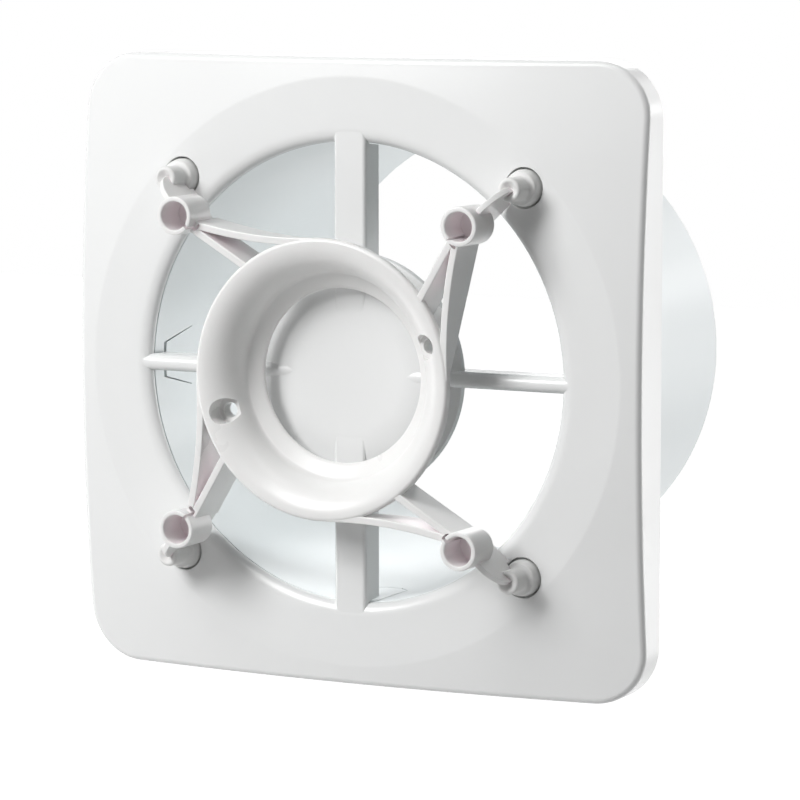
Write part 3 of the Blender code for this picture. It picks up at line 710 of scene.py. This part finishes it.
def moulded_skin():
    """Node group: faint cloudiness, flow streaks along the duct, gloss that wanders and a fine skin."""
    group = bpy.data.node_groups.new("moulded_skin", "ShaderNodeTree")
    for name in ("Base", "Shade"):
        group.interface.new_socket(name, in_out="INPUT", socket_type="NodeSocketColor")
    for name in ("Smooth", "Rough", "Cloud Scale", "Streaks", "Skin Scale"):
        group.interface.new_socket(name, in_out="INPUT", socket_type="NodeSocketFloat")
    group.interface.new_socket("Colour", in_out="OUTPUT", socket_type="NodeSocketColor")
    for name in ("Roughness", "Height"):
        group.interface.new_socket(name, in_out="OUTPUT", socket_type="NodeSocketFloat")
    nodes, links = group.nodes, group.links
    given, out = nodes.new("NodeGroupInput"), nodes.new("NodeGroupOutput")
    where = nodes.new("ShaderNodeTexCoord")
    clouds = nodes.new("ShaderNodeTexNoise")
    clouds.inputs["Detail"].default_value = 4.0
    links.new(where.outputs["Object"], clouds.inputs["Vector"])
    links.new(given.outputs["Cloud Scale"], clouds.inputs["Scale"])
    drawn = nodes.new("ShaderNodeMapping")
    drawn.inputs["Scale"].default_value = (1.0, 0.04, 1.0)
    links.new(where.outputs["Object"], drawn.inputs["Vector"])
    streaks = nodes.new("ShaderNodeTexNoise")
    streaks.inputs["Scale"].default_value = 260.0
    streaks.inputs["Detail"].default_value = 5.0
    links.new(drawn.outputs["Vector"], streaks.inputs["Vector"])
    mixed = nodes.new("ShaderNodeMix")
    links.new(given.outputs["Streaks"], mixed.inputs["Factor"])
    links.new(clouds.outputs["Fac"], mixed.inputs["A"])
    links.new(streaks.outputs["Fac"], mixed.inputs["B"])
    tint = nodes.new("ShaderNodeMix")
    tint.data_type = "RGBA"
    links.new(mixed.outputs["Result"], tint.inputs["Factor"])
    links.new(given.outputs["Base"], tint.inputs["A"])
    links.new(given.outputs["Shade"], tint.inputs["B"])
    links.new(tint.outputs["Result"], out.inputs["Colour"])
    skin = nodes.new("ShaderNodeTexNoise")
    skin.inputs["Detail"].default_value = 3.0
    links.new(where.outputs["Object"], skin.inputs["Vector"])
    links.new(given.outputs["Skin Scale"], skin.inputs["Scale"])
    links.new(skin.outputs["Fac"], out.inputs["Height"])
    gloss = nodes.new("ShaderNodeMapRange")
    gloss.inputs["From Min"].default_value = 0.3
    gloss.inputs["From Max"].default_value = 0.7
    links.new(mixed.outputs["Result"], gloss.inputs["Value"])
    links.new(given.outputs["Smooth"], gloss.inputs["To Min"])
    links.new(given.outputs["Rough"], gloss.inputs["To Max"])
    links.new(gloss.outputs["Result"], out.inputs["Roughness"])
    return group


def moulded_finish(name, group, colours, gloss, scales, streaks, height):
    """A moulded finish from a pair of colours, a span of roughness, and cloud and skin scales."""
    material = bpy.data.materials.new(name)
    material.use_nodes = True
    nodes, links = material.node_tree.nodes, material.node_tree.links
    shader = nodes["Principled BSDF"]
    coat = nodes.new("ShaderNodeGroup")
    coat.name = "skin"
    coat.node_tree = group
    coat.inputs["Base"].default_value = (*colours[0], 1.0)
    coat.inputs["Shade"].default_value = (*colours[1], 1.0)
    coat.inputs["Smooth"].default_value, coat.inputs["Rough"].default_value = gloss
    coat.inputs["Cloud Scale"].default_value, coat.inputs["Skin Scale"].default_value = scales
    coat.inputs["Streaks"].default_value = streaks
    bump = nodes.new("ShaderNodeBump")
    bump.inputs["Strength"].default_value = 0.5
    bump.inputs["Distance"].default_value = height
    links.new(coat.outputs["Colour"], shader.inputs["Base Color"])
    links.new(coat.outputs["Roughness"], shader.inputs["Roughness"])
    links.new(coat.outputs["Height"], bump.inputs["Height"])
    links.new(bump.outputs["Normal"], shader.inputs["Normal"])
    return material


def painted_hollow_glow(material, tint, reach):
    """Painted glow: lighten and warm the colour on the ribs and sockets where walls close in, standing in for
    the light that thin plastic lets through in its shade.
    """
    nodes, links = material.node_tree.nodes, material.node_tree.links
    closeness = nodes.new("ShaderNodeAmbientOcclusion")
    closeness.samples = 8
    closeness.inputs["Distance"].default_value = reach
    # How closely walls close in sets how much painted glow is laid on.
    depth = nodes.new("ShaderNodeMapRange")
    depth.inputs["From Min"].default_value = 0.8
    depth.inputs["From Max"].default_value = 0.25
    links.new(closeness.outputs["AO"], depth.inputs["Value"])
    where = nodes.new("ShaderNodeTexCoord")
    across = nodes.new("ShaderNodeVectorMath")
    across.operation = "MULTIPLY"
    across.inputs[1].default_value = (1.0, 0.0, 1.0)
    links.new(where.outputs["Object"], across.inputs[0])
    radius = nodes.new("ShaderNodeVectorMath")
    radius.operation = "LENGTH"
    links.new(across.outputs["Vector"], radius.inputs[0])
    outside = nodes.new("ShaderNodeMapRange")
    outside.inputs["From Min"].default_value = RIM_RADIUS
    outside.inputs["From Max"].default_value = RIM_RADIUS + SOCKET_RADIUS
    links.new(radius.outputs["Value"], outside.inputs["Value"])
    both = nodes.new("ShaderNodeMath")
    both.operation = "MULTIPLY"
    links.new(depth.outputs["Result"], both.inputs[0])
    links.new(outside.outputs["Result"], both.inputs[1])
    blend = nodes.new("ShaderNodeMix")
    blend.data_type = "RGBA"
    links.new(both.outputs["Value"], blend.inputs["Factor"])
    links.new(nodes["skin"].outputs["Colour"], blend.inputs["A"])
    # The painted glow colour, mixed in where walls close in on the ribs and sockets.
    blend.inputs["B"].default_value = (*tint, 1.0)
    shader = nodes["Principled BSDF"]
    links.new(blend.outputs["Result"], shader.inputs["Base Color"])
    shader.inputs["Subsurface Weight"].default_value = 0.3
    shader.inputs["Subsurface Radius"].default_value = (1.0, 0.92, 0.94)
    shader.inputs["Subsurface Scale"].default_value = 0.0012


def dress(item, node, body, material):
    item.data.materials.clear()
    item.data.materials.append(material)
    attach(item, body)
    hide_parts(node)


def lamp(name, azimuth, elevation, distance, size, power):
    """A soft, square, white lamp that faces the plate. Azimuth 0 is straight ahead of it, 90 on its right."""
    a, e = math.radians(azimuth), math.radians(elevation)
    place = Vector((math.sin(a) * math.cos(e), -math.cos(a) * math.cos(e), math.sin(e))) * distance
    data = bpy.data.lights.new(name, "AREA")
    data.shape = "SQUARE"
    data.size = size
    data.energy = power
    item = bpy.data.objects.new(name, data)
    item.location = place
    item.rotation_euler = (-place).to_track_quat("-Z", "Y").to_euler()
    bpy.context.scene.collection.objects.link(item)


def backdrop_share(nodes, links):
    """1 for rays that show the white backdrop itself: seen directly, mirrored or through something clear."""
    path = nodes.new("ShaderNodeLightPath")
    either = nodes.new("ShaderNodeMath")
    either.operation = "MAXIMUM"
    links.new(path.outputs["Is Camera Ray"], either.inputs[0])
    links.new(path.outputs["Is Glossy Ray"], either.inputs[1])
    third = nodes.new("ShaderNodeMath")
    third.operation = "MAXIMUM"
    links.new(either.outputs["Value"], third.inputs[0])
    links.new(path.outputs["Is Transmission Ray"], third.inputs[1])
    return third.outputs["Value"]


def studio():
    world = bpy.data.worlds.new("studio")
    world.use_nodes = True
    nodes, links = world.node_tree.nodes, world.node_tree.links
    fill = nodes["Background"]
    fill.inputs["Color"].default_value = (0.97, 0.98, 1.0, 1.0)
    fill.inputs["Strength"].default_value = 0.02
    seen = nodes.new("ShaderNodeBackground")
    seen.inputs["Color"].default_value = (1.0, 1.0, 1.0, 1.0)
    choose = nodes.new("ShaderNodeMixShader")
    links.new(backdrop_share(nodes, links), choose.inputs["Fac"])
    links.new(fill.outputs["Background"], choose.inputs[1])
    links.new(seen.outputs["Background"], choose.inputs[2])
    links.new(choose.outputs["Shader"], nodes["World Output"].inputs["Surface"])
    bpy.context.scene.world = world
    for name, settings in LAMPS.items():
        lamp(name, *settings)


def floor():
    """Pale floor well below the part. It glows for the camera, so that it is white and keeps a shadow."""
    bm = bmesh.new()
    bmesh.ops.create_grid(bm, x_segments=1, y_segments=1, size=FLOOR_HALF)
    ground = blank("floor", bm)
    ground.location = (0.0, 0.0, FLOOR_LEVEL)
    material = bpy.data.materials.new("pale_floor")
    material.use_nodes = True
    nodes, links = material.node_tree.nodes, material.node_tree.links
    shader = nodes["Principled BSDF"]
    shader.inputs["Base Color"].default_value = (0.6, 0.6, 0.6, 1.0)
    shader.inputs["Roughness"].default_value = 0.8
    shader.inputs["Emission Color"].default_value = (1.0, 1.0, 1.0, 1.0)
    glow = nodes.new("ShaderNodeMath")
    glow.operation = "MULTIPLY"
    links.new(backdrop_share(nodes, links), glow.inputs[0])
    glow.inputs[1].default_value = FLOOR_GLOW
    links.new(glow.outputs["Value"], shader.inputs["Emission Strength"])
    ground.data.materials.append(material)


def camera():
    """The photograph's viewpoint: right of the plate's front and a little above it."""
    middle = Vector(VIEW_CENTRE)
    across, ahead = math.sin(VIEW_AZIMUTH), math.cos(VIEW_AZIMUTH)
    flat = math.cos(VIEW_ELEVATION)
    towards = Vector((across * flat, -ahead * flat, math.sin(VIEW_ELEVATION)))
    right = Vector((ahead, across, 0.0))
    up = right.cross(-towards)
    aim = middle + right * VIEW_SHIFT[0] + up * VIEW_SHIFT[1]
    data = bpy.data.cameras.new("photo_camera")
    data.lens = VIEW_LENS
    data.sensor_width = 36.0
    data.clip_start = 0.01
    item = bpy.data.objects.new("photo_camera", data)
    item.location = middle + towards * VIEW_DISTANCE
    item.rotation_euler = (aim - item.location).to_track_quat("-Z", "Y").to_euler()
    bpy.context.scene.collection.objects.link(item)
    bpy.context.scene.camera = item


def finishes():
    """The part's four finishes, named as the record's material slots."""
    skin = moulded_skin()
    plate = ((0.808, 0.812, 0.809), (0.794, 0.801, 0.798))
    tube = ((0.77, 0.805, 0.81), (0.72, 0.77, 0.78))
    carrier = ((0.80, 0.798, 0.79), (0.785, 0.782, 0.775))
    bush = ((0.75, 0.75, 0.74), (0.72, 0.72, 0.71))
    looks = {
        "plate_white": (plate, (0.20, 0.27), (35.0, 1400.0), 0.1, 0.00002),
        "tube_white": (tube, (0.28, 0.34), (30.0, 1200.0), 0.35, 0.00002),
        "carrier_white": (carrier, (0.26, 0.34), (60.0, 1500.0), 0.2, 0.00002),
        "bush_grey": (bush, (0.5, 0.62), (220.0, 2500.0), 0.0, 0.00003),
    }
    made = {name: moulded_finish(name, skin, *settings) for name, settings in looks.items()}
    # Painted pink glow in the carrier's hollows, lighter than its own white.
    painted_hollow_glow(made["carrier_white"], (0.90, 0.845, 0.86), 0.006)
    return made


coats = finishes()
dress(build_plate(), "wall_plate", "body", coats["plate_white"])
dress(build_tube(), "duct_tube", "body", coats["tube_white"])
dress(build_carrier(), "panel_carrier", "carrier", coats["carrier_white"])
for corner, bush in build_bushes().items():
    dress(bush, "bush_" + corner, "body", coats["bush_grey"])

bpy.context.scene.view_settings.view_transform = "Standard"
studio()
floor()
camera()
